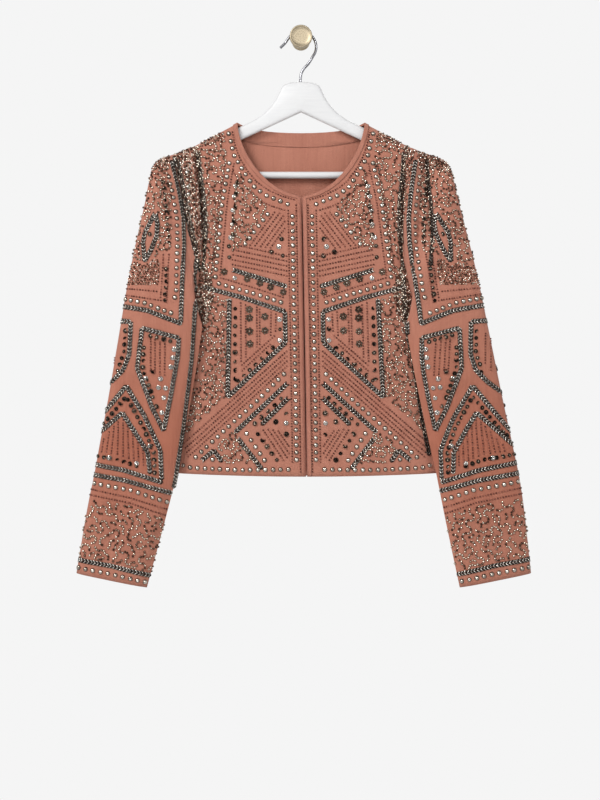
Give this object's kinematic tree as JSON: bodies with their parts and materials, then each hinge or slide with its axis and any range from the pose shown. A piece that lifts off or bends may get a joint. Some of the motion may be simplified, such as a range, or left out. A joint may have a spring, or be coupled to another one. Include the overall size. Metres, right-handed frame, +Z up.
{
  "type": "beaded jacket on a hanger with wall knob",
  "caption": "Short round-neck jacket with long sleeves, edge to edge at the front and beaded in bands and chevrons, on a wooden hanger that hangs by its hook from a turned wall knob.",
  "frame": {"origin": "middle of the wall knob's back face, on the wall", "axes": "+Z up, +Y into the wall, +X to the wearer's left, which is the right side of the front view"},
  "size_m": [0.6493, 0.0614, 0.8049],
  "materials": {
    "beaded_cloth": "matte weave under beads and sequins",
    "edging": "folded strip of the same cloth",
    "white_wood": "painted white, satin",
    "bright_steel": "polished wire",
    "brass": "brushed"
  },
  "bodies": {
    "root": {"front_left": "beaded_cloth", "front_right": "beaded_cloth", "back": "beaded_cloth", "sleeve_left": "beaded_cloth", "sleeve_right": "beaded_cloth", "edging_left": "edging", "edging_right": "edging", "edging_back": "edging", "neck_facing": "edging", "hanger": "white_wood", "trouser_bar": "white_wood", "hanger_hook": "bright_steel", "wall_knob": "brass"}
  },
  "joints": []
}
